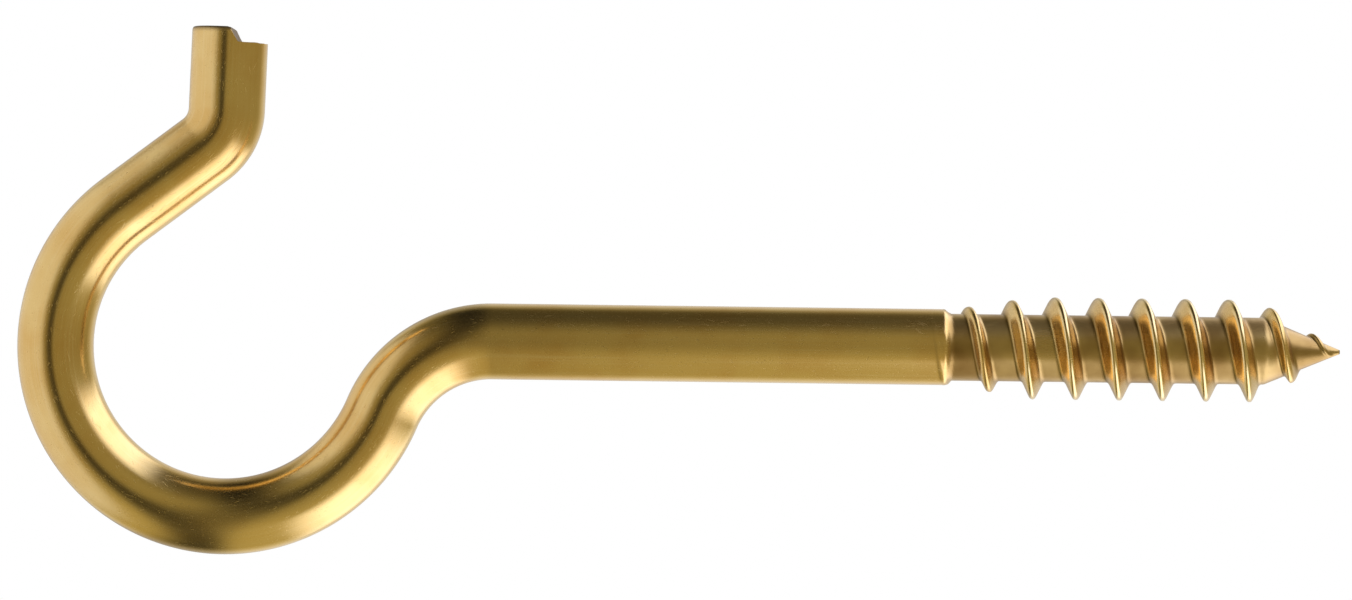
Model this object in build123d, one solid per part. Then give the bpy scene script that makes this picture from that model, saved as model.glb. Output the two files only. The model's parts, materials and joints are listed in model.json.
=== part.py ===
from build123d import *
import os
from math import asin, degrees, radians, tan

# Screw hook for a ceiling: one length of round wire, bent into an S-necked bowl with a turned-out
# tip, and rolled into a wood-screw thread at its other end.
#
# Frame, in millimetres: +Z runs along the screw axis towards the point. The origin is on that axis
# in the ceiling's face, where the thread starts. The bends all lie in the XZ plane: the neck leans
# to +X, and the mouth and the tip are on the -X side.

# --- the wire and its bends: a bend's radius is to the middle of the wire ---
WIRE_DIAMETER = 4.6
SHANK_LENGTH = 27.7          # straight plain stretch, from the ceiling to the neck
NECK_RADIUS = 7.2
BOWL_INNER_DIAMETER = 16.0
BOWL_OFFSET = 0.5            # centre of the bowl, off the screw axis towards +X
LEAD_ANGLE = 37.2            # of the straight run that narrows the mouth, from the screw axis
LEAD_LENGTH = 6.1
TIP_BEND_RADIUS = 3.2
TIP_ANGLE = 88.1             # of the turned-out tip, from the screw axis
TIP_LENGTH = 4.95            # straight stretch of the tip, to its longer side

# --- the cropped end of the tip: sheared on the bowl's side, torn off short on the neck's side ---
TORN_WIDTH = 2.2             # part of the wire's width that tore
TORN_SLOPE = 0.6             # width of the slope between the sheared and the torn part
TORN_DEPTH = 0.9             # how far the torn part stands back

# --- the screw ---
THREAD_LENGTH = 23.6         # with the point
PITCH = 2.63
CREST_DIAMETER = 6.2
ROOT_DIAMETER = 4.05
CREST_WIDTH = 0.28           # of the flat on top of the ridge
FLANK_ANGLE = 25.0           # of each side of the ridge, from square to the axis
START_ANGLE = 33.6           # where the ridge crosses the ceiling's face, from +X towards +Y
SHOULDER_LENGTH = 0.35       # of the slope from the wire down to the core
RUN_IN_LENGTH = 5.0          # over which the ridge grows out of the wire
POINT_LENGTH = 4.6           # of the cone that ends the core
POINT_DIAMETER = 0.24        # of the blunt end of that cone
CREST_POINT_LENGTH = 4.8     # of the taper that the crest follows, a crest's width short of the end
CREST_POINT_FULLNESS = 0.8   # 1 would make that taper a cone, less makes it bulge
ROOTING = 0.12               # how deep the ridge's foot lies below the core's surface
SPENT_RIDGE = 0.03           # least radius and height of the ridge, at its end inside the point
STATIONS_PER_TURN = 12       # points that draw one turn of an edge of the ridge

WIRE_RADIUS = WIRE_DIAMETER / 2
BOWL_RADIUS = BOWL_INNER_DIAMETER / 2 + WIRE_RADIUS
ROOT_RADIUS = ROOT_DIAMETER / 2
CREST_RADIUS = CREST_DIAMETER / 2
POINT_RADIUS = POINT_DIAMETER / 2


# ---------------------------------------------------------------- the bent wire
def wire_runs():
    """Middle line of the wire, from the shoulder to the tip, as lines and arcs that touch."""
    neck_turn = 90 - degrees(asin((NECK_RADIUS - BOWL_OFFSET) / (NECK_RADIUS + BOWL_RADIUS)))
    bowl_turn = neck_turn + 180 - LEAD_ANGLE
    shank = Line((0, -SHOULDER_LENGTH), (0, -SHANK_LENGTH))
    neck = JernArc(shank @ 1, shank % 1, NECK_RADIUS, neck_turn)
    bowl = JernArc(neck @ 1, neck % 1, BOWL_RADIUS, -bowl_turn)
    lead = Line(bowl @ 1, bowl @ 1 + LEAD_LENGTH * (bowl % 1))
    tip_bend = JernArc(lead @ 1, lead % 1, TIP_BEND_RADIUS, TIP_ANGLE - LEAD_ANGLE)
    tip = Line(tip_bend @ 1, tip_bend @ 1 + TIP_LENGTH * (tip_bend % 1))
    return [shank, neck, bowl, lead, tip_bend, tip]


def torn_off(tip):
    """What the cropping tore off the tip: a block with a sloping side, right through the wire."""
    onward = tip % 1
    neckward = Vector(onward.Y, -onward.X)
    torn = WIRE_RADIUS - TORN_WIDTH
    outline = ((torn, 0), (torn + TORN_SLOPE, -TORN_DEPTH), (WIRE_DIAMETER, -TORN_DEPTH),
               (WIRE_DIAMETER, WIRE_DIAMETER), (torn, WIRE_DIAMETER))
    corners = [tip @ 1 + neckward * across + onward * along for across, along in outline]
    return extrude(Plane.XZ * make_face(Polyline(*corners, close=True)), WIRE_DIAMETER, both=True)


def bent_wire():
    runs = wire_runs()
    path = Plane.XZ * Wire(runs)
    section = Plane(path @ 0, z_dir=path % 0) * Circle(WIRE_RADIUS)
    return sweep(section, path) - torn_off(runs[-1])


# ---------------------------------------------------------------- the screw
def share_of_way(value, start, end):
    """How far a value is on its way from start to end: 0 before it, 1 after it."""
    return min(1.0, max(0.0, (value - start) / (end - start)))


def core_radius(z):
    """The core is a cylinder that ends in a blunt cone."""
    pointed = share_of_way(z, THREAD_LENGTH - POINT_LENGTH, THREAD_LENGTH)
    return ROOT_RADIUS + (POINT_RADIUS - ROOT_RADIUS) * pointed


def crest_radius(z):
    """The crest comes out of the wire at the ceiling, grows, runs level and sinks into the point."""
    grown = min(1.0, z / RUN_IN_LENGTH)
    sunk = THREAD_LENGTH - CREST_WIDTH
    pointed = share_of_way(z, sunk - CREST_POINT_LENGTH, sunk)
    rise = (CREST_RADIUS - WIRE_RADIUS) * grown
    return (WIRE_RADIUS + rise) * (1 - pointed) ** CREST_POINT_FULLNESS


def screw_core():
    outline = Polyline(
        (0, -SHOULDER_LENGTH), (WIRE_RADIUS, -SHOULDER_LENGTH), (ROOT_RADIUS, 0),
        (ROOT_RADIUS, THREAD_LENGTH - POINT_LENGTH), (POINT_RADIUS, THREAD_LENGTH),
        (0, THREAD_LENGTH), close=True)
    return revolve(Plane.XZ * make_face(outline), Axis.Z)


def ridge_corners(z):
    """Corners of the ridge's section where its middle is at z: foot, crest, crest, foot."""
    angle = START_ANGLE + 360 * z / PITCH
    foot = max(core_radius(z) - ROOTING, SPENT_RIDGE)
    crest = max(crest_radius(z), foot + SPENT_RIDGE)
    half_top = CREST_WIDTH / 2
    half_foot = half_top + (crest - foot) * tan(radians(FLANK_ANGLE))
    section = ((foot, -half_foot), (crest, -half_top), (crest, half_top), (foot, half_foot))
    return [Vector(radius, 0, z + shift).rotate(Axis.Z, angle) for radius, shift in section]


def ridge_turn(start, end):
    """The ridge's four edges and four faces from one height to another, about a turn on."""
    heights = [start + (end - start) * i / STATIONS_PER_TURN for i in range(STATIONS_PER_TURN + 1)]
    spacing = [i / STATIONS_PER_TURN for i in range(STATIONS_PER_TURN + 1)]
    stations = zip(*[ridge_corners(z) for z in heights])
    edges = [Edge.make_spline(points, parameters=spacing) for points in stations]
    faces = [Face.make_surface_from_curves(edges[i - 1], edges[i]) for i in range(4)]
    return edges, faces


def ridge_end(edges, where):
    return make_face(Polyline(*[edge @ where for edge in edges], close=True)).face()


def ridge():
    """The thread's right-hand ridge: a solid closed at both ends, which lie inside the metal."""
    first = -2 * SHOULDER_LENGTH
    last = THREAD_LENGTH - 1.4 * CREST_WIDTH
    turns = round((last - first) / PITCH)
    heights = [first + (last - first) * i / turns for i in range(turns + 1)]
    spans = [ridge_turn(start, end) for start, end in zip(heights, heights[1:])]
    faces = [face for _, span_faces in spans for face in span_faces]
    ends = [ridge_end(spans[0][0], 0), ridge_end(spans[-1][0], 1)]
    return Solid(Shell(faces + ends))


# ---------------------------------------------------------------- the hook
screw_hook = bent_wire() + screw_core() + ridge()

os.makedirs("parts", exist_ok=True)
export_step(screw_hook, "parts/screw_hook.step")
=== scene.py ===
import json
from math import asin, cos, pi, radians, sin, tan

import bmesh
import bpy
from mathutils import Matrix, Vector


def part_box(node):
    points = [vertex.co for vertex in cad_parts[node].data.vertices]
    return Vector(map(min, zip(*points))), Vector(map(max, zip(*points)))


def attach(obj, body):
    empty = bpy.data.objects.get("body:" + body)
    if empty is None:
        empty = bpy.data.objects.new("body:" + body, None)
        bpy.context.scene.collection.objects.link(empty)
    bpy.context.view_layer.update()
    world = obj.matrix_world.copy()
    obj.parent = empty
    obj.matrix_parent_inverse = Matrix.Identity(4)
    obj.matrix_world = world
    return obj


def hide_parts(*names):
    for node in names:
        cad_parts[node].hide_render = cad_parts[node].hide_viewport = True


# Screw hook for a ceiling, as a finished piece: one bent and thread-rolled wire under bright brass
# plating. Everything is in metres, in the frame's own axes: +Z runs up the screw towards its
# point, the origin is in the ceiling's face, and the bends lie in the XZ plane.

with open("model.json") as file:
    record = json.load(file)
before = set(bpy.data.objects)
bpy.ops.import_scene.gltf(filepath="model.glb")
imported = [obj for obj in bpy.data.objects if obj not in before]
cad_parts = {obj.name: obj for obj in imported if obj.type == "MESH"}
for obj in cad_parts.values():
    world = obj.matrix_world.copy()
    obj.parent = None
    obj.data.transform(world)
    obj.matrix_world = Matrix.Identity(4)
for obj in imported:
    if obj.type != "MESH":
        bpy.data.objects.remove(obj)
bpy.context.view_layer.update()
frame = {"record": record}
mounts = {mount["name"]: mount for mount in frame["record"]["mounts"]}

MM = 0.001

# --- the wire and its bends: a bend's radius is to the middle of the wire ---
WIRE_RADIUS = 2.3 * MM
SHANK_LENGTH = 27.7 * MM         # from the ceiling to the neck
NECK_RADIUS = 7.2 * MM
BOWL_RADIUS = mounts["bowl_seat"]["dims"]["r_mm"] * MM + WIRE_RADIUS
BOWL_OFFSET = mounts["bowl_seat"]["pos_m"][0]
LEAD_ANGLE = radians(37.2)       # of the run that narrows the mouth, from the screw axis
LEAD_LENGTH = 6.1 * MM
TIP_BEND_RADIUS = 3.2 * MM
TIP_ANGLE = radians(88.1)        # of the turned-out tip, from the screw axis
TIP_LENGTH = 4.95 * MM

# --- the cropped end of the tip ---
TORN_WIDTH = 2.2 * MM            # part of the wire's width that tore off short
TORN_SLOPE = 0.6 * MM
TORN_DEPTH = 0.9 * MM
TORN_GRAIN = 0.12 * MM           # height of the torn metal's grain
RIM_ROUNDING = 0.35 * MM

# --- the screw ---
THREAD_LENGTH = mounts["screw_thread"]["dims"]["length_mm"] * MM
CREST_RADIUS = mounts["screw_thread"]["dims"]["r_mm"] * MM
PITCH = 2.63 * MM
ROOT_RADIUS = 2.025 * MM
CREST_WIDTH = 0.28 * MM
FLANK_SLOPE = tan(radians(25.0))
START_ANGLE = radians(33.6)      # where the ridge crosses the ceiling's face, from +X towards +Y
SHOULDER_LENGTH = 0.35 * MM
RUN_IN_LENGTH = 5.0 * MM
POINT_LENGTH = 4.6 * MM
POINT_RADIUS = 0.12 * MM
CREST_POINT_LENGTH = 4.8 * MM    # of the taper that the crest follows
CREST_POINT_FULLNESS = 0.8       # 1 would make that taper a cone, less makes it bulge
RIDGE_ROUNDING = 0.28 * MM       # of the ridge's corners and of its foot

# --- how finely the surface is drawn: it is wound on like the thread, a row of points to a lap ---
ROWS_PER_PITCH = 26
POINTS_ROUND = 64
CROWDING = 0.35                  # how much closer rows lie on the ridge than between its turns
WELD = 0.002 * MM
CRISP_CORNER = radians(35)       # sharper edges of the cropped end are not smoothed

# --- the plating: sizes of its marks, each a wavelength, and their heights ---
DRAWING_LINES = 0.11 * MM        # fine lines that the drawing die leaves along the wire
DRAWING_LINE_RUN = 7.0 * MM      # how long such a line runs
DRAWING_LINE_HEIGHT = 0.0005 * MM
RIPPLE = 1.7 * MM                # gentle unevenness of the drawn and bent wire
RIPPLE_HEIGHT = 0.006 * MM
ROLLING_LINES = 0.09 * MM        # fine lines that the rolling dies leave round the thread
ROLLING_LINE_HEIGHT = 0.0012 * MM
GRAIN = 0.05 * MM                # of the plating itself
GRAIN_HEIGHT = 0.0003 * MM
SCRATCH_WIDTH = 0.05 * MM
SCRATCH_RUN = 2.2 * MM
SCRATCH_DEPTH = 0.0015 * MM
TARNISH_PATCH = 4.5 * MM
SPECK = 0.28 * MM

BRASS = (0.82, 0.585, 0.235)
REDDER_BRASS = (0.74, 0.47, 0.155)
BURNISHED_BRASS = (0.88, 0.67, 0.33)
# dark brown of tarnishing, also used as painted shade in the thread's roots
TARNISH_AND_SHADE_BROWN = (0.17, 0.088, 0.022)
# bare metal of the cropped end, made dark brown also as painted shade on its torn faces
SHEARED_METAL_AND_SHADE = (0.13, 0.09, 0.05)

# --- the studio ---
FLOOR_DROP = 0.15                # below the hook's lowest point
FLOOR_RADIUS = 0.30
FLOOR_FULL_RADIUS = 0.17         # where the floor starts to fade out
FLOOR_COLOUR = (0.70, 0.69, 0.655)
LENS_MM = 135.0
SENSOR_MM = 36.0
VIEW_CENTRE = Vector((-2.65 * MM, 0, -16.63 * MM))
VIEW_WIDTH = 81.88 * MM
VIEW_ROLL = radians(0.73)        # the screw's point hangs a little low in the view
LAMP_DISTANCE = 0.22
SOFTBOX_STEPS = (0.7, 0.88, 1.06, 1.24)   # sizes of a softbox's panels
PANEL_SPACING = 0.004
LAMP_COLOUR = (0.93, 0.98, 1.3)
DIM_ROOM = (1.0, 0.87, 0.40)     # colour of what the metal reflects where there is no lamp


# ---------------------------------------------------------------- sums with node sockets
class Number:
    """An output socket of a node tree that takes part in sums as a number does."""

    def __init__(self, socket):
        self.socket = socket

    def __add__(self, other):
        return maths("ADD", self, other)

    def __radd__(self, other):
        return maths("ADD", other, self)

    def __sub__(self, other):
        return maths("SUBTRACT", self, other)

    def __rsub__(self, other):
        return maths("SUBTRACT", other, self)

    def __mul__(self, other):
        return maths("MULTIPLY", self, other)

    def __rmul__(self, other):
        return maths("MULTIPLY", other, self)

    def __truediv__(self, other):
        return maths("DIVIDE", self, other)

    def __rtruediv__(self, other):
        return maths("DIVIDE", other, self)

    def __neg__(self):
        return maths("MULTIPLY", self, -1.0)


def feed(target, value):
    """Joins a socket to another node's output, or sets its value."""
    if isinstance(value, Number):
        target.id_data.links.new(value.socket, target)
    else:
        target.default_value = value


def add_node(tree, kind, inputs=None, **settings):
    """A new node, with its settings and its inputs by name or by place."""
    node = tree.nodes.new(kind)
    for name, value in settings.items():
        setattr(node, name, value)
    for name, value in (inputs or {}).items():
        feed(node.inputs[name], value)
    return node


def maths(operation, *values):
    tree = next(value.socket.id_data for value in values if isinstance(value, Number))
    node = add_node(tree, "ShaderNodeMath", dict(enumerate(values)), operation=operation)
    return Number(node.outputs[0])


def sine(value):
    return maths("SINE", value)


def cosine(value):
    return maths("COSINE", value)


def least(*values):
    return maths("MINIMUM", *values)


def most(*values):
    return maths("MAXIMUM", *values)


def soft_least(first, second, rounding):
    return maths("SMOOTH_MIN", first, second, rounding)


def soft_most(first, second, rounding):
    return maths("SMOOTH_MAX", first, second, rounding)


def share_of_way(value, start, end):
    """How far a value is on its way from start to end: 0 before it, 1 after it."""
    return least(most((value - start) / (end - start), 0.0), 1.0)


def eased(share):
    """A share from 0 to 1 that sets off and arrives gently."""
    return share * share * (3.0 - 2.0 * share)


def vector(tree, x, y, z):
    return Number(add_node(tree, "ShaderNodeCombineXYZ", {0: x, 1: y, 2: z}).outputs[0])


def parts_of(value):
    node = add_node(value.socket.id_data, "ShaderNodeSeparateXYZ", {0: value})
    return [Number(output) for output in node.outputs]


def noise(tree, place, scale, detail=2.0, roughness=0.5):
    """Smooth noise from 0 to 1 at a place."""
    inputs = {"Vector": place, "Scale": scale, "Detail": detail, "Roughness": roughness}
    node = add_node(tree, "ShaderNodeTexNoise", inputs)
    return Number(node.outputs[0])


# ---------------------------------------------------------------- the wire's shape
def neck_turn():
    """Angle that the neck turns by, so that it ends touching the bowl's middle line."""
    return pi / 2 - asin((NECK_RADIUS - BOWL_OFFSET) / (NECK_RADIUS + BOWL_RADIUS))


def wire_total():
    """Length of the bent wire below the ceiling, along its middle."""
    bends = (NECK_RADIUS * neck_turn() + BOWL_RADIUS * (neck_turn() + pi - LEAD_ANGLE)
             + TIP_BEND_RADIUS * (TIP_ANGLE - LEAD_ANGLE))
    return SHANK_LENGTH + LEAD_LENGTH + TIP_LENGTH + bends


WIRE_SIZES = {
    "Wire Radius": WIRE_RADIUS, "Shank Length": SHANK_LENGTH, "Neck Radius": NECK_RADIUS,
    "Bowl Radius": BOWL_RADIUS, "Bowl Offset": BOWL_OFFSET, "Lead Angle": LEAD_ANGLE,
    "Lead Length": LEAD_LENGTH, "Tip Bend Radius": TIP_BEND_RADIUS, "Tip Angle": TIP_ANGLE,
    "Tip Length": TIP_LENGTH, "Torn Width": TORN_WIDTH, "Torn Slope": TORN_SLOPE,
    "Torn Depth": TORN_DEPTH, "Torn Grain": TORN_GRAIN, "Rim Rounding": RIM_ROUNDING,
    "Thread Length": THREAD_LENGTH, "Pitch": PITCH, "Crest Radius": CREST_RADIUS,
    "Root Radius": ROOT_RADIUS, "Crest Width": CREST_WIDTH, "Flank Slope": FLANK_SLOPE,
    "Start Angle": START_ANGLE, "Shoulder Length": SHOULDER_LENGTH,
    "Run-in Length": RUN_IN_LENGTH, "Point Length": POINT_LENGTH, "Point Radius": POINT_RADIUS,
    "Crest Point Length": CREST_POINT_LENGTH, "Crest Fullness": CREST_POINT_FULLNESS,
    "Ridge Rounding": RIDGE_ROUNDING, "Crowding": CROWDING, "Weld": WELD,
    "Crisp Corner": CRISP_CORNER,
}


def wire_runs(size):
    """The wire's runs from the ceiling down to the tip: each a length and the angle it turns by."""
    lean = maths("ARCSINE", (size["Neck Radius"] - size["Bowl Offset"])
                 / (size["Neck Radius"] + size["Bowl Radius"]))
    neck_turn = pi / 2 - lean
    bowl_turn = neck_turn + pi - size["Lead Angle"]
    tip_turn = size["Tip Angle"] - size["Lead Angle"]
    return [
        (size["Shank Length"], None),
        (size["Neck Radius"] * neck_turn, neck_turn),
        (size["Bowl Radius"] * bowl_turn, -bowl_turn),
        (size["Lead Length"], None),
        (size["Tip Bend Radius"] * tip_turn, tip_turn),
        (size["Tip Length"], None),
    ]


def wire_length(size):
    total = 0.0
    for length, _ in wire_runs(size):
        total = length + total
    return total


def bend(tree, size, place):
    """Carries a place on the straight wire to where the bends put it."""
    across, depth, height = parts_of(place)
    along = -height
    start, heading_there = 0.0, 0.0 * along
    x, z, heading = 0.0 * along, -least(along, 0.0), 0.0 * along
    for length, turn in wire_runs(size):
        gone = least(most(along - start, 0.0), length)
        if turn is None:
            x = x + gone * sine(heading_there)
            z = z - gone * cosine(heading_there)
        else:
            turned = turn * gone / length
            radius = length / turn
            x = x + radius * (cosine(heading_there) - cosine(heading_there + turned))
            z = z + radius * (sine(heading_there) - sine(heading_there + turned))
            heading = heading + turned
            heading_there = heading_there + turn
        start = length + start
    return vector(tree, x + across * cosine(heading), depth, z + across * sine(heading))


def winding(size, row, point):
    """Height and angle of a point of the surface, which is wound round the wire as the thread is."""
    lap = row / ROWS_PER_PITCH
    crowd = size["Crowding"] / (2 * pi) * sine(2 * pi * lap)
    angle = point * (2 * pi / POINTS_ROUND)
    turn_at_ceiling = size["Start Angle"] / (2 * pi)
    height = size["Pitch"] * (lap + crowd + angle / (2 * pi) - turn_at_ceiling + 0.5)
    off_ridge = size["Pitch"] * (maths("FRACT", lap) + crowd - 0.5)
    return height, angle, maths("ABSOLUTE", off_ridge)


def core_radius(size, height):
    """The wire steps down to the threaded core, which ends in a blunt cone."""
    shoulder = share_of_way(height, -size["Shoulder Length"], 0.0)
    shank = size["Wire Radius"] + (size["Root Radius"] - size["Wire Radius"]) * shoulder
    cone = share_of_way(height, size["Thread Length"] - size["Point Length"], size["Thread Length"])
    return shank + (size["Point Radius"] - size["Root Radius"]) * cone


def ridge_radius(size, height, off_ridge):
    """The ridge grows out of the wire, runs level and sinks into the point."""
    grown = least(height / size["Run-in Length"], 1.0)
    sunk = size["Thread Length"] - size["Crest Width"]
    pointed = share_of_way(height, sunk - size["Crest Point Length"], sunk)
    rise = (size["Crest Radius"] - size["Wire Radius"]) * grown
    crest = (size["Wire Radius"] + rise) * maths("POWER", 1.0 - pointed, size["Crest Fullness"])
    flank = crest - (off_ridge - size["Crest Width"] / 2) / size["Flank Slope"]
    return soft_least(crest, flank, size["Ridge Rounding"])


def straight_wire(tree, size, row, point):
    """Place on the straight wire of a point of its surface, with the ridge's rise and the crop."""
    raw, angle, off_ridge = winding(size, row, point)
    foot = -wire_length(size)
    past_end = most(raw - size["Thread Length"], 0.0)
    height = least(raw, size["Thread Length"])
    core = core_radius(size, height)
    full = soft_most(core, ridge_radius(size, height, off_ridge), size["Ridge Rounding"])
    side = most(full - past_end, 0.0)
    radius = most(soft_least(side, side + (raw - foot), size["Rim Rounding"]), 0.0)
    x, y = radius * cosine(angle), radius * sine(angle)
    torn_from = size["Wire Radius"] - size["Torn Width"]
    torn = eased(share_of_way(-x, torn_from, torn_from + size["Torn Slope"]))
    grain = noise(tree, vector(tree, x, y, 0.0), 2.2 / MM, 3.0) - 0.5
    cut = foot + torn * (size["Torn Depth"] + size["Torn Grain"] * grain)
    place = vector(tree, x, y, soft_most(height, cut, size["Rim Rounding"]))
    rise = (full - core) / (size["Crest Radius"] - size["Root Radius"])
    cropped = 1.0 - share_of_way(raw, foot, foot + size["Rim Rounding"])
    return place, rise, cropped


def wound_surface(tree):
    """The wire's whole surface as one grid of points, with each point's row and place in it."""
    first_turn = -int((wire_total() + 2 * WIRE_RADIUS) / PITCH + 2)
    last_turn = int((THREAD_LENGTH + POINT_RADIUS) / PITCH + 2)
    rows = (last_turn - first_turn) * ROWS_PER_PITCH + 1
    counts = {"Vertices X": rows, "Vertices Y": POINTS_ROUND + 1}
    grid = add_node(tree, "GeometryNodeMeshGrid", counts)
    index = Number(add_node(tree, "GeometryNodeInputIndex").outputs[0])
    row = maths("FLOOR", (index + 0.5) / (POINTS_ROUND + 1))
    point = index - row * (POINTS_ROUND + 1)
    return Number(grid.outputs["Mesh"]), row + first_turn * ROWS_PER_PITCH, point


def store(tree, geometry, name, value, kind="FLOAT"):
    node = add_node(tree, "GeometryNodeStoreNamedAttribute",
                    {"Geometry": geometry, "Name": name}, data_type=kind, domain="POINT")
    feed(node.inputs["Value"], value)
    return Number(node.outputs["Geometry"])


def stored(tree, name, kind="FLOAT"):
    node = add_node(tree, "GeometryNodeInputNamedAttribute", {"Name": name}, data_type=kind)
    return Number(node.outputs["Attribute"])


def cropped_edges(tree, size):
    """The edges of the cropped end, which stay crisp."""
    corner = Number(add_node(tree, "GeometryNodeInputMeshEdgeAngle").outputs["Unsigned Angle"])
    height = parts_of(stored(tree, "straight_place", "FLOAT_VECTOR"))[2]
    end = size["Torn Depth"] + 4 * size["Torn Grain"] - wire_length(size)
    return maths("LESS_THAN", height, end) * maths("GREATER_THAN", corner, size["Crisp Corner"])


def sizes_given_to(tree):
    """Gives a node tree one input for each size of the wire."""
    for name, value in WIRE_SIZES.items():
        socket = tree.interface.new_socket(name=name, in_out="INPUT", socket_type="NodeSocketFloat")
        socket.default_value = value
    given = add_node(tree, "NodeGroupInput")
    return {name: Number(given.outputs[name]) for name in WIRE_SIZES}


def hook_tree(material):
    """Node tree that draws the straight, threaded and cropped wire, and then bends it."""
    tree = bpy.data.node_groups.new("bent and threaded wire", "GeometryNodeTree")
    size = sizes_given_to(tree)
    tree.interface.new_socket(name="Hook", in_out="OUTPUT", socket_type="NodeSocketGeometry")
    surface, row, point = wound_surface(tree)
    place, rise, cropped = straight_wire(tree, size, row, point)
    surface = store(tree, surface, "straight_place", place, "FLOAT_VECTOR")
    surface = store(tree, surface, "ridge_rise", rise)
    surface = store(tree, surface, "cropped", cropped)
    bent = bend(tree, size, stored(tree, "straight_place", "FLOAT_VECTOR"))
    moved = add_node(tree, "GeometryNodeSetPosition", {"Geometry": surface, "Position": bent})
    welded = add_node(tree, "GeometryNodeMergeByDistance",
                      {"Geometry": Number(moved.outputs[0]), "Distance": size["Weld"]})
    outward = add_node(tree, "GeometryNodeFlipFaces", {"Mesh": Number(welded.outputs[0])})
    smooth = add_node(tree, "GeometryNodeSetShadeSmooth", {"Geometry": Number(outward.outputs[0])})
    inputs = {"Geometry": Number(smooth.outputs[0]), "Selection": cropped_edges(tree, size),
              "Shade Smooth": False}
    crisp = add_node(tree, "GeometryNodeSetShadeSmooth", inputs, domain="EDGE")
    real = add_node(tree, "GeometryNodeRealizeInstances", {0: Number(crisp.outputs[0])})
    coated = add_node(tree, "GeometryNodeSetMaterial",
                      {"Geometry": Number(real.outputs[0]), "Material": material})
    result = add_node(tree, "NodeGroupOutput")
    tree.links.new(coated.outputs[0], result.inputs["Hook"])
    return tree


def keep(name, data):
    """A new object in the scene."""
    holder = bpy.data.objects.new(name, data)
    bpy.context.scene.collection.objects.link(holder)
    return holder


def plain_piece(name, tree, sizes):
    """Runs a node tree and keeps its result as a plain mesh in an object at the origin."""
    holder = keep(name, bpy.data.meshes.new(name))
    modifier = holder.modifiers.new("shape", "NODES")
    modifier.node_group = tree
    sockets = {item.name: item.identifier for item in tree.interface.items_tree}
    for size_name, value in sizes.items():
        modifier[sockets[size_name]] = value
    evaluated = holder.evaluated_get(bpy.context.evaluated_depsgraph_get())
    mesh = bpy.data.meshes.new_from_object(evaluated)
    holder.modifiers.remove(modifier)
    holder.data = mesh
    mesh.name = name
    return holder


# ---------------------------------------------------------------- the brass plating
def mixed(first, second, share):
    """A colour between two, which are colours or node outputs."""
    tree = share.socket.id_data
    node = tree.nodes.new("ShaderNodeMix")
    node.data_type = "RGBA"
    feed(node.inputs["Factor"], share)
    for name, colour in (("A", first), ("B", second)):
        target = next(s for s in node.inputs if s.name == name and s.type == "RGBA")
        feed(target, colour if isinstance(colour, Number) else (*colour, 1.0))
    return Number(next(s for s in node.outputs if s.type == "RGBA"))


def raised(height, rise, below=None):
    """Bump from a height of 0 to 1, over another bump."""
    tree = height.socket.id_data
    inputs = {"Height": height, "Distance": rise, "Strength": 1.0}
    if below:
        inputs["Normal"] = below
    return Number(add_node(tree, "ShaderNodeBump", inputs).outputs["Normal"])


def stretched(tree, place, wavelengths):
    """A place whose three sides are counted in wavelengths."""
    x, y, z = parts_of(place)
    return vector(tree, x / wavelengths[0], y / wavelengths[1], z / wavelengths[2])


def scratches(tree, place, turned_by):
    """Thin stray lines, 0 to 1, at one slant to the wire."""
    turn = add_node(tree, "ShaderNodeVectorRotate",
                    {"Vector": place, "Angle": turned_by, "Axis": (1.0, 0.6, 0.2)})
    sides = (SCRATCH_WIDTH, SCRATCH_WIDTH * 3, SCRATCH_RUN)
    line = noise(tree, stretched(tree, Number(turn.outputs[0]), sides), 1.0, 0.0)
    return share_of_way(line, 0.76, 0.82)


def attribute(tree, name, output):
    node = add_node(tree, "ShaderNodeAttribute", attribute_name=name)
    return Number(node.outputs[output])


def marks(tree, place):
    """What drawing, rolling and handling left on the wire, each from 0 to 1."""
    along = (DRAWING_LINES, DRAWING_LINES, DRAWING_LINE_RUN)
    around = (8 * ROLLING_LINES, 8 * ROLLING_LINES, ROLLING_LINES)
    return {
        "drawn": noise(tree, stretched(tree, place, along), 1.0, 3.0),
        "rolled": noise(tree, stretched(tree, place, around), 1.0, 2.0),
        "ripple": noise(tree, stretched(tree, place, (RIPPLE, RIPPLE, 2 * RIPPLE)), 1.0, 1.0),
        "grain": noise(tree, place, 1 / GRAIN, 1.0),
        "stray": most(scratches(tree, place, 0.35), scratches(tree, place, -0.6)),
        "patch": noise(tree, place, 1 / TARNISH_PATCH, 3.0, 0.6),
        "speck": share_of_way(noise(tree, place, 1 / SPECK, 1.0), 0.77, 0.85),
    }


def tarnish_and_root_shade(mark, threaded, rise, crest):
    """Share of the dark brown: patchy in the thread's roots, where it is painted shade between the
    ridges as well as tarnishing, and tarnishing in specks off its crests.
    """
    sunk = threaded * (1.0 - share_of_way(rise, 0.02, 0.35))
    # the roots darken everywhere as painted shade between the ridges, and more in patches as
    # tarnishing
    root_tarnish_and_shade = sunk * (0.30 + 0.5 * share_of_way(mark["patch"], 0.35, 0.7))
    return most(root_tarnish_and_shade, 0.4 * mark["speck"] * (1.0 - crest))


def plating_colour(mark, threaded, crest, dirt_and_root_shade, cropped):
    """Brass of two tones, burnished on drawing lines and crests, tarnished and darkened with painted
    shade in the thread's roots, and bare where cropped, with painted shade darkening the torn faces.
    """
    tone = mixed(BRASS, REDDER_BRASS, share_of_way(mark["patch"], 0.42, 0.72))
    lines = 0.5 * share_of_way(mark["drawn"], 0.5, 0.8) * (1.0 - threaded)
    streaked = mixed(tone, BURNISHED_BRASS, lines)
    burnished = mixed(streaked, BURNISHED_BRASS, crest * threaded)
    # tarnished spots, and painted shade in the thread's roots
    soiled_and_shaded = mixed(burnished, TARNISH_AND_SHADE_BROWN, dirt_and_root_shade)
    # the cropped end's bare metal, darkened further as painted shade on its torn faces
    return mixed(soiled_and_shaded, SHEARED_METAL_AND_SHADE, 0.9 * cropped)


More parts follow.
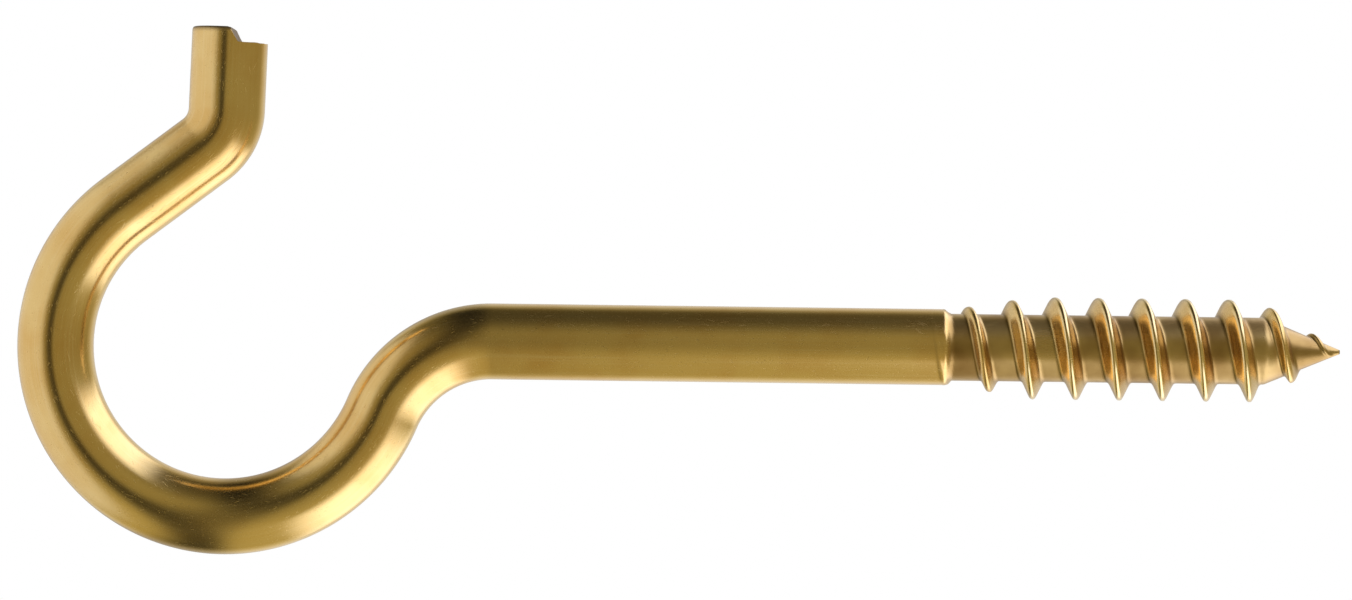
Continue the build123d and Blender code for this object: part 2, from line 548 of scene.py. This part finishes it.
def plating_roughness(mark, threaded, crest, dirt_and_root_shade, cropped):
    """Glossy, and duller at each mark, in the thread's roots and where cropped."""
    worn = 0.13 + 0.07 * mark["patch"] + 0.06 * mark["drawn"] + 0.12 * mark["stray"]
    return worn + 0.10 * dirt_and_root_shade + 0.06 * threaded * (1.0 - crest) + 0.3 * cropped


def plating_relief(mark, threaded):
    """Bump of all the marks, one over another."""
    relief = raised(mark["ripple"], RIPPLE_HEIGHT)
    relief = raised(mark["drawn"] * (1.0 - threaded), DRAWING_LINE_HEIGHT, relief)
    relief = raised(mark["rolled"] * threaded, ROLLING_LINE_HEIGHT, relief)
    relief = raised(mark["grain"], GRAIN_HEIGHT, relief)
    return raised(1.0 - mark["stray"], SCRATCH_DEPTH, relief)


def brass_plating():
    """Bright brass plating over drawn wire, read in the straight wire's own places."""
    material = bpy.data.materials.new("bright brass plating")
    material.use_nodes = True
    tree = material.node_tree
    place = attribute(tree, "straight_place", "Vector")
    rise = attribute(tree, "ridge_rise", "Fac")
    cropped = attribute(tree, "cropped", "Fac")
    threaded = share_of_way(parts_of(place)[2], -SHOULDER_LENGTH, 0.0)
    crest = eased(share_of_way(rise, 0.75, 1.0))
    mark = marks(tree, place)
    # tarnishing, and painted shade in the thread's roots
    dirt_and_root_shade = tarnish_and_root_shade(mark, threaded, rise, crest)

    shader = tree.nodes["Principled BSDF"].inputs
    shader["Metallic"].default_value = 1.0
    feed(shader["Base Color"], plating_colour(mark, threaded, crest, dirt_and_root_shade, cropped))
    feed(shader["Roughness"], plating_roughness(mark, threaded, crest, dirt_and_root_shade, cropped))
    feed(shader["Normal"], plating_relief(mark, threaded))
    return material


# ---------------------------------------------------------------- the studio
def lamp_panel(name, angle, behind, distance, width, length, brightness):
    """Rectangular lamp that faces the hook from an angle in the plane of the bends, measured from
    +Z towards -X, and from a little behind that plane. Its length runs across the plane."""
    lamp = bpy.data.lights.new(name, "AREA")
    lamp.shape = "RECTANGLE"
    lamp.size, lamp.size_y = width, length
    lamp.energy = brightness * pi * width * length
    lamp.color = LAMP_COLOUR
    holder = keep(name, lamp)
    away = Vector((-sin(angle) * cos(behind), sin(behind), cos(angle) * cos(behind)))
    side = Vector((0.0, 1.0, 0.0)).cross(away).normalized()
    turn = Matrix((side, away.cross(side), away)).transposed()
    holder.matrix_world = Matrix.Translation(VIEW_CENTRE + away * distance) @ turn.to_4x4()
    holder.visible_camera = False


def softbox(name, angle, behind, width, length, brightness):
    """Panels one behind another, each larger, so that the lamp fades towards its rim."""
    for i, share in enumerate(SOFTBOX_STEPS):
        place = (angle, behind, LAMP_DISTANCE + i * PANEL_SPACING)
        part = brightness / len(SOFTBOX_STEPS)
        lamp_panel(f"{name} {i}", *place, width * share, length * share, part)


def studio_world():
    """White to the camera, plain light on what is matt, and a dim room with a pale backdrop
    behind the hook in what is polished."""
    world = bpy.data.worlds.new("studio")
    bpy.context.scene.world = world
    world.use_nodes = True
    tree = world.node_tree
    x, y, z = parts_of(Number(add_node(tree, "ShaderNodeTexCoord").outputs["Generated"]))
    rays = add_node(tree, "ShaderNodeLightPath")
    seen = most(Number(rays.outputs["Is Camera Ray"]), Number(rays.outputs["Is Transmission Ray"]))
    mirrored = Number(rays.outputs["Is Glossy Ray"])
    backdrop = eased(share_of_way(y, 0.35, 0.9))
    over_mouth = 1.0 - eased(share_of_way(x, -1.1, -0.4))
    under_neck = eased(share_of_way(x, 0.0, 0.85))
    dark_card = eased(share_of_way(z, -0.46, -0.24)) * (1.0 - eased(share_of_way(z, -0.14, 0.0)))
    room = (0.32 - 0.26 * over_mouth + 0.18 * under_neck) * (1.0 - 0.9 * dark_card)
    strength = (1.0 - mirrored) * 0.9 + mirrored * (room + 0.4 * backdrop)
    feed(tree.nodes["Background"].inputs["Strength"], most(seen, strength))
    tint = mixed((1.0, 1.0, 1.0), DIM_ROOM, mirrored * (1.0 - backdrop))
    feed(tree.nodes["Background"].inputs["Color"], tint)


def floor_finish():
    """Matt pale floor that fades out towards its rim."""
    material = bpy.data.materials.new("pale floor")
    material.use_nodes = True
    tree = material.node_tree
    shader = tree.nodes["Principled BSDF"]
    shader.inputs["Base Color"].default_value = (*FLOOR_COLOUR, 1.0)
    shader.inputs["Roughness"].default_value = 0.8
    place = Number(add_node(tree, "ShaderNodeTexCoord").outputs["Object"])
    length = add_node(tree, "ShaderNodeVectorMath", {0: place}, operation="LENGTH")
    fade = eased(share_of_way(Number(length.outputs["Value"]), FLOOR_FULL_RADIUS, FLOOR_RADIUS))
    clear = add_node(tree, "ShaderNodeBsdfTransparent")
    inputs = {0: fade, 1: Number(shader.outputs[0]), 2: Number(clear.outputs[0])}
    shown = add_node(tree, "ShaderNodeMixShader", inputs)
    tree.links.new(shown.outputs[0], tree.nodes["Material Output"].inputs["Surface"])
    return material


def floor():
    mesh = bpy.data.meshes.new("floor")
    shape = bmesh.new()
    bmesh.ops.create_circle(shape, cap_ends=True, segments=96, radius=FLOOR_RADIUS)
    shape.to_mesh(mesh)
    shape.free()
    mesh.materials.append(floor_finish())
    piece = keep("floor", mesh)
    piece.location = (VIEW_CENTRE.x, 0.0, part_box("screw_hook")[0][2] - FLOOR_DROP)


def camera():
    """Looks along +Y with the screw's point to the right of the view and the mouth on top."""
    lens = bpy.data.cameras.new("camera")
    lens.lens, lens.sensor_width = LENS_MM, SENSOR_MM
    holder = keep("camera", lens)
    right = Vector((-sin(VIEW_ROLL), 0.0, cos(VIEW_ROLL)))
    up = Vector((-cos(VIEW_ROLL), 0.0, -sin(VIEW_ROLL)))
    back = right.cross(up)
    turn = Matrix((right, up, back)).transposed()
    distance = VIEW_WIDTH * LENS_MM / SENSOR_MM
    holder.matrix_world = Matrix.Translation(VIEW_CENTRE + back * distance) @ turn.to_4x4()
    bpy.context.scene.camera = holder


# ---------------------------------------------------------------- the hook in its studio
hook = plain_piece("hook", hook_tree(brass_plating()), WIRE_SIZES)
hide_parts("screw_hook")
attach(hook, "root")

studio_world()
floor()
softbox("upper lamp", radians(46), radians(4), 0.19, 0.44, 1.6)
softbox("lower lamp", radians(-55), radians(0), 0.18, 0.45, 1.4)
camera()
bpy.context.scene.view_settings.view_transform = "Standard"
